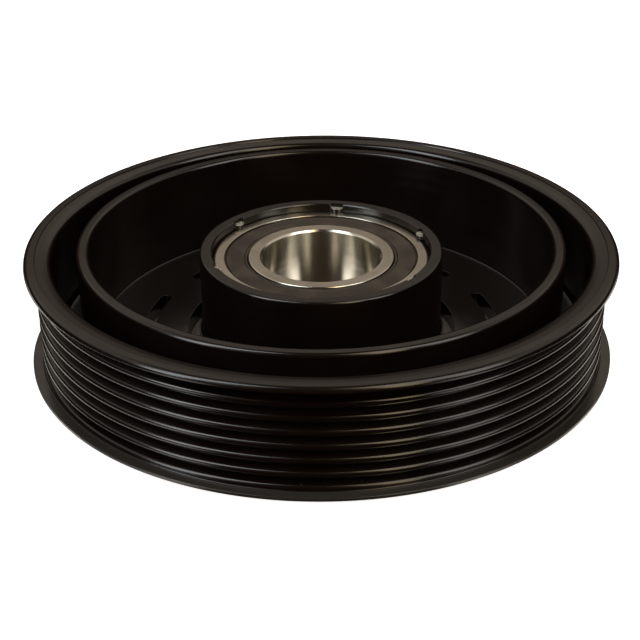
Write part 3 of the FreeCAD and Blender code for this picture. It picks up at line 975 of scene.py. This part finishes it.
def ground_steel(name):
    """Bearing steel, ground around its axis, with faint staining."""
    finish = Finish(name)
    shader = finish.shader
    marks = finish.across_turning()
    lines = finish.noise(period=0.12, detail=4.0, along=marks)
    bands = finish.noise(period=1.1, detail=2.0, along=marks)
    stain = finish.noise(period=7.0, detail=5.0)
    colour = finish.blend(finish.ramp(stain, start=0.3, end=0.75), RACE_PALE, RACE_DARK)
    shade = finish.math("MULTIPLY_ADD", bands, RING_ROUGHNESS, RACE_ROUGHNESS)
    finish.give(shader, "Base Color", colour)
    finish.give(shader, "Roughness", shade)
    finish.give(shader, "Metallic", 1.0)
    waves = finish.noise(period=0.5, detail=3.0)
    relief = finish.bump(lines, depth=0.0006)
    finish.give(shader, "Normal", finish.bump(waves, depth=0.001, below=relief))
    finish.turned_gloss(RACE_STREAK)
    return finish.material


def moulded_rubber(name):
    """Matt brown-black nitrile rubber with mould lines and bloom."""
    finish = Finish(name)
    shader = finish.shader
    bloom = finish.noise(period=6.0, detail=4.0)
    rings = finish.noise(period=0.45, detail=2.0, along=finish.radius_mm())
    grain = finish.noise(period=0.12, detail=3.0)
    speck = dust(finish)
    colour = finish.blend(finish.ramp(bloom, start=0.35, end=0.7), RUBBER_DARK, RUBBER_BLOOM)
    finish.give(shader, "Base Color", finish.blend(speck, colour, DUST))
    rough = finish.ramp(bloom, start=0.3, end=0.7, start_result=0.5, end_result=0.68)
    finish.give(shader, "Roughness", rough)
    relief = finish.bump(rings, depth=0.006)
    finish.give(shader, "Normal", finish.bump(grain, depth=0.006, below=relief))
    return finish.material


def pressed_steel(name):
    """Bright-rolled sheet steel of the seal cores."""
    finish = Finish(name)
    shader = finish.shader
    mottle = finish.noise(period=1.5, detail=5.0)
    finish.give(shader, "Base Color", finish.blend(mottle, STEEL_DARK, STEEL_PALE))
    rough = finish.ramp(mottle, start=0.3, end=0.7, start_result=0.28, end_result=0.42)
    finish.give(shader, "Roughness", rough)
    finish.give(shader, "Metallic", 1.0)
    finish.give(shader, "Normal", finish.bump(finish.noise(period=0.2, detail=3.0), depth=0.002))
    return finish.material


def polished_steel(name):
    """Mirror-polished ball steel with hairline scratches."""
    finish = Finish(name)
    shader = finish.shader
    haze = finish.noise(period=1.2, detail=4.0)
    finish.give(shader, "Base Color", finish.blend(haze, STEEL_BRIGHT, STEEL_PALE))
    rough = finish.ramp(haze, start=0.3, end=0.7, start_result=0.05, end_result=0.12)
    finish.give(shader, "Roughness", rough)
    finish.give(shader, "Metallic", 1.0)
    finish.give(shader, "Normal", finish.bump(finish.noise(period=0.15, detail=3.0), depth=0.0002))
    return finish.material


def moulded_nylon(name):
    """Natural nylon of the ball cages, faintly mottled."""
    finish = Finish(name)
    shader = finish.shader
    mottle = finish.noise(period=2.5, detail=4.0)
    finish.give(shader, "Base Color", finish.blend(mottle, NYLON_PALE, NYLON_DARK))
    rough = finish.ramp(mottle, start=0.3, end=0.7, start_result=0.4, end_result=0.55)
    finish.give(shader, "Roughness", rough)
    finish.give(shader, "Normal", finish.bump(finish.noise(period=0.3, detail=3.0), depth=0.004))
    shader.inputs["Subsurface Weight"].default_value = NYLON_GLOW_THROUGH
    shader.inputs["Subsurface Scale"].default_value = NYLON_GLOW_DEPTH * MM
    return finish.material


# ---------------------------------------------------------------- pieces

def add_turned_pieces(coated_rim, race, rubber):
    """Rim, races and seals."""
    rim = turned_piece(rim_corners())
    outer = turned_piece(outer_race_corners())
    inner = turned_piece(inner_race_corners())
    rear = turned_piece(seal_corners(BEARING_TOP, -1))
    front = turned_piece(seal_corners(BEARING_BOTTOM, 1))
    add_piece("rim_surface", rim, "pulley", coated_rim, ["pulley_rim"])
    add_piece("outer_race_ring", outer, "pulley", race, ["bearing_outer_race"])
    add_piece("inner_race_ring", inner, "inner_race", race, ["bearing_inner_race"])
    add_piece("rear_seal_ring", rear, "pulley", rubber, ["rear_seal"])
    add_piece("front_seal_ring", front, "pulley", rubber, ["front_seal"])


def refinish_hidden_nodes():
    """Better materials for the CAD nodes inside the bearing."""
    sheet = pressed_steel("seal_core_sheet")
    ball = polished_steel("ball_polish")
    nylon = moulded_nylon("cage_nylon_natural")
    for name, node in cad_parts.items():
        for slot in node.material_slots:
            if name.endswith("seal_core"):
                slot.material = sheet
            elif name.endswith("cage"):
                slot.material = nylon
            elif "_ball_" in name:
                slot.material = ball


# ---------------------------------------------------------------- stage

def add_stage_ring(name, profile, paper, in_reflections):
    """One turned piece of the stage, drawn as an open profile in metres."""
    angles = even_angles(STAGE_TURN_STEPS)
    part = turned_strip([[point / MM for point in profile]] * len(angles), angles, False)
    mesh = bpy.data.meshes.new(name)
    mesh.from_pydata([tuple(vertex) for vertex in part[0]], [], part[1])
    mesh.shade_smooth()
    mesh.materials.append(paper)
    ring = bpy.data.objects.new(name, mesh)
    ring.visible_glossy = in_reflections
    ring.visible_diffuse = in_reflections
    bpy.context.scene.collection.objects.link(ring)


def pale_sweep():
    """Round pale floor that curves up into a wall far behind the object, and a ring of painted shadow
    under the object that reflections and the slots see.
    """
    paper = pale_paper()
    shaded_height = -FLOOR_GAP / 2
    shade = [Vector((SHADED_FLOOR_START, shaded_height)), Vector((SHADED_FLOOR_END, shaded_height))]
    # This ring carries the paper's painted shadow under the object and is seen in reflections and
    # through the slots
    add_stage_ring("shaded_floor", shade, paper, in_reflections=True)
    profile = [Vector((FLOOR_START, -FLOOR_GAP)), Vector((FLOOR_RADIUS, -FLOOR_GAP))]
    for step in range(1, SWEEP_STEPS + 1):
        lean = math.pi / 2 * step / SWEEP_STEPS
        across = FLOOR_RADIUS + SWEEP_RADIUS * math.sin(lean)
        profile.append(Vector((across, SWEEP_RADIUS * (1 - math.cos(lean)) - FLOOR_GAP)))
    profile.append(Vector((FLOOR_RADIUS + SWEEP_RADIUS, SWEEP_HEIGHT)))
    add_stage_ring("pale_sweep", profile, paper, in_reflections=False)


def pale_paper():
    """Almost white studio paper, lit from within so that shadows stay faint, with a painted shadow
    under the object: dark, with only a faint warm painted glow.
    """
    finish = Finish("studio_paper")
    shader = finish.shader
    tone = finish.noise(period=60.0, detail=2.0)
    lit = finish.ramp(finish.radius_mm(), SHADE_RADIUS, GLOW_RADIUS)
    paper = finish.blend(tone, PAPER_LOW, PAPER_HIGH)
    finish.give(shader, "Base Color", finish.blend(lit, PAPER_SHADE, paper))
    finish.give(shader, "Roughness", 0.9)
    finish.give(shader, "Specular IOR Level", 0.0)
    finish.give(shader, "Emission Color", finish.blend(lit, WARM_GLOW, WHITE_GLOW))
    # Faint warm painted glow inside the painted shadow, full glow outside it
    glow = finish.ramp(lit, start=0.0, end=1.0, start_result=SHADE_GLOW, end_result=PAPER_GLOW)
    finish.give(shader, "Emission Strength", glow)
    return finish.material


def add_softbox(name, azimuth, elevation, width, height, power, colour):
    """Rectangular soft light that faces the object."""
    lamp = bpy.data.lights.new(name, "AREA")
    lamp.shape = "RECTANGLE"
    lamp.size = width
    lamp.size_y = height
    lamp.energy = power
    lamp.color = colour
    box = bpy.data.objects.new(name, lamp)
    away = Vector((
        math.cos(math.radians(azimuth)) * math.cos(math.radians(elevation)),
        math.sin(math.radians(azimuth)) * math.cos(math.radians(elevation)),
        math.sin(math.radians(elevation)),
    ))
    box.location = away * SOFTBOX_DISTANCE
    box.rotation_euler = away.to_track_quat("Z", "Y").to_euler()
    bpy.context.scene.collection.objects.link(box)


def add_lights():
    """Three soft boxes in front: a cool one on the left, a narrow warm one and a pale one right."""
    add_softbox("cool_left", azimuth=-147.0, elevation=42.0, width=0.30, height=1.30,
                power=6.6, colour=COOL_LIGHT)
    add_softbox("warm_front", azimuth=-61.0, elevation=40.0, width=0.24, height=1.10,
                power=3.2, colour=WARM_LIGHT)
    add_softbox("pale_right", azimuth=-32.0, elevation=42.0, width=0.36, height=1.30,
                power=4.0, colour=PALE_LIGHT)


def add_room_light():
    """Dark room with a warm pale band behind the object, paler sides and a bright low surround."""
    world = bpy.data.worlds.new("room")
    world.use_nodes = True
    nodes = world.node_tree.nodes
    links = world.node_tree.links
    coordinates = nodes.new("ShaderNodeTexCoord")
    split = nodes.new("ShaderNodeSeparateXYZ")
    links.new(coordinates.outputs["Generated"], split.inputs[0])
    side = nodes.new("ShaderNodeMath")
    side.operation = "ABSOLUTE"
    links.new(split.outputs["X"], side.inputs[0])
    behind = room_area(world, (
        (split.outputs["Y"], ROOM_BEHIND_START, ROOM_BEHIND_END),
        (split.outputs["Z"], ROOM_BAND_BOTTOM_START, ROOM_BAND_BOTTOM_END),
        (split.outputs["Z"], ROOM_BAND_FADE_END, ROOM_BAND_FADE_START),
    ))
    beside = room_area(world, (
        (side.outputs[0], ROOM_SIDE_START, ROOM_SIDE_END),
        (split.outputs["Z"], ROOM_BAND_BOTTOM_START, ROOM_BAND_BOTTOM_END),
        (split.outputs["Z"], ROOM_SIDE_FADE_END, ROOM_SIDE_FADE_START),
    ))
    below = room_area(world, (
        (side.outputs[0], ROOM_LOW_SIDE_START, ROOM_LOW_SIDE_END),
        (side.outputs[0], ROOM_LOW_FADE_END, ROOM_LOW_FADE_START),
        (split.outputs["Z"], ROOM_LOW_TOP_START, ROOM_LOW_TOP_END),
    ))
    colour = room_blend(world, behind, ROOM_DARK, ROOM_BAND)
    colour = room_blend(world, beside, colour, ROOM_SIDE)
    colour = room_blend(world, below, colour, ROOM_LOW)
    links.new(colour, nodes["Background"].inputs["Color"])
    bpy.context.scene.world = world


def room_area(world, edges):
    """Product of soft edges, each a direction value that runs from 0 to 1 between bounds."""
    nodes = world.node_tree.nodes
    links = world.node_tree.links
    share = None
    for value, start, end in edges:
        edge = nodes.new("ShaderNodeMapRange")
        edge.interpolation_type = "SMOOTHSTEP"
        links.new(value, edge.inputs["Value"])
        edge.inputs["From Min"].default_value = start
        edge.inputs["From Max"].default_value = end
        if share is None:
            share = edge.outputs[0]
            continue
        both = nodes.new("ShaderNodeMath")
        both.operation = "MULTIPLY"
        links.new(share, both.inputs[0])
        links.new(edge.outputs[0], both.inputs[1])
        share = both.outputs[0]
    return share


def room_blend(world, share, first, second):
    """Colour between a colour or colour output and another colour."""
    mix = world.node_tree.nodes.new("ShaderNodeMix")
    mix.data_type = "RGBA"
    world.node_tree.links.new(share, mix.inputs[0])
    if isinstance(first, bpy.types.NodeSocket):
        world.node_tree.links.new(first, mix.inputs[6])
    else:
        mix.inputs[6].default_value = first
    mix.inputs[7].default_value = second
    return mix.outputs[2]


def add_camera():
    """Long lens, in front of the object and above it."""
    data = bpy.data.cameras.new("camera")
    data.lens = CAMERA_LENS
    data.sensor_width = CAMERA_SENSOR
    data.clip_start = CAMERA_CLIP_START * MM
    camera = bpy.data.objects.new("camera", data)
    camera.location = CAMERA_PLACE * MM
    level = Euler((math.radians(90.0 - CAMERA_PITCH), 0.0, 0.0)).to_matrix()
    roll = Matrix.Rotation(math.radians(CAMERA_ROLL), 3, "Z")
    camera.rotation_euler = (level @ roll).to_euler()
    bpy.context.scene.collection.objects.link(camera)
    bpy.context.scene.camera = camera


# ---------------------------------------------------------------- the object


coated_rotor = black_coat("rotor_black_coat", bare_face=True)
coated_rim = black_coat("rim_black_coat", bare_face=False)
race = ground_steel("ground_race_steel")
rubber = moulded_rubber("nitrile_rubber")

add_piece("rotor_body", rotor_part(), "pulley", coated_rotor, ["rotor"])
add_turned_pieces(coated_rim, race, rubber)
refinish_hidden_nodes()
pale_sweep()
add_lights()
add_room_light()
add_camera()
bpy.context.scene.view_settings.view_transform = "Standard"
